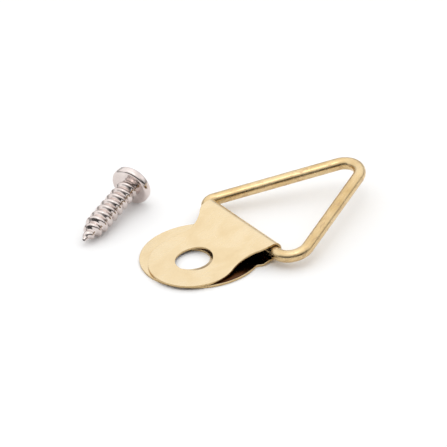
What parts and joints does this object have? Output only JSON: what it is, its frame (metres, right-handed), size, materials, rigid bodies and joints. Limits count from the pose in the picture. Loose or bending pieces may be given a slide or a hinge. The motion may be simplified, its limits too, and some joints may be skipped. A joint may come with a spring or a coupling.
{
  "type": "one-hole picture hanger with triangle ring and screw",
  "caption": "Folded sheet-metal strap with a screw hole, a triangular wire ring that swings in its fold, and a loose pan-head screw beside it.",
  "frame": {"origin": "point of the back leaf's wall face, on the strap's centreline, 5.6 mm from the screw hole's centre towards the leaf's tip", "axes": "+X along the strap from the leaf's tip to the ring's point, +Y across the strap, +Z out of the wall face towards the front leaf"},
  "size_m": [0.0439, 0.0386, 0.007],
  "materials": {
    "strap": "bright brass-plated sheet steel, softly polished",
    "ring": "bright brass-plated wire, drawn smooth, slightly scuffed",
    "screw": "bright nickel-plated steel"
  },
  "bodies": {
    "strap": {"hanger_strap": "strap"},
    "ring": {"triangle_ring": "ring"},
    "screw": {"mounting_screw": "screw"}
  },
  "joints": [
    {"name": "ring_swing", "type": "hinge", "parent": "strap", "child": "ring", "pos_m": [0.0156, 0, 0.00188], "axis": [0, -1, 0], "range_deg": [-122, 165]},
    {"name": "screw_lift", "type": "slide", "parent": "strap", "child": "screw", "axis": [0, 0, 1], "range_m": [0, 0.02]}
  ]
}
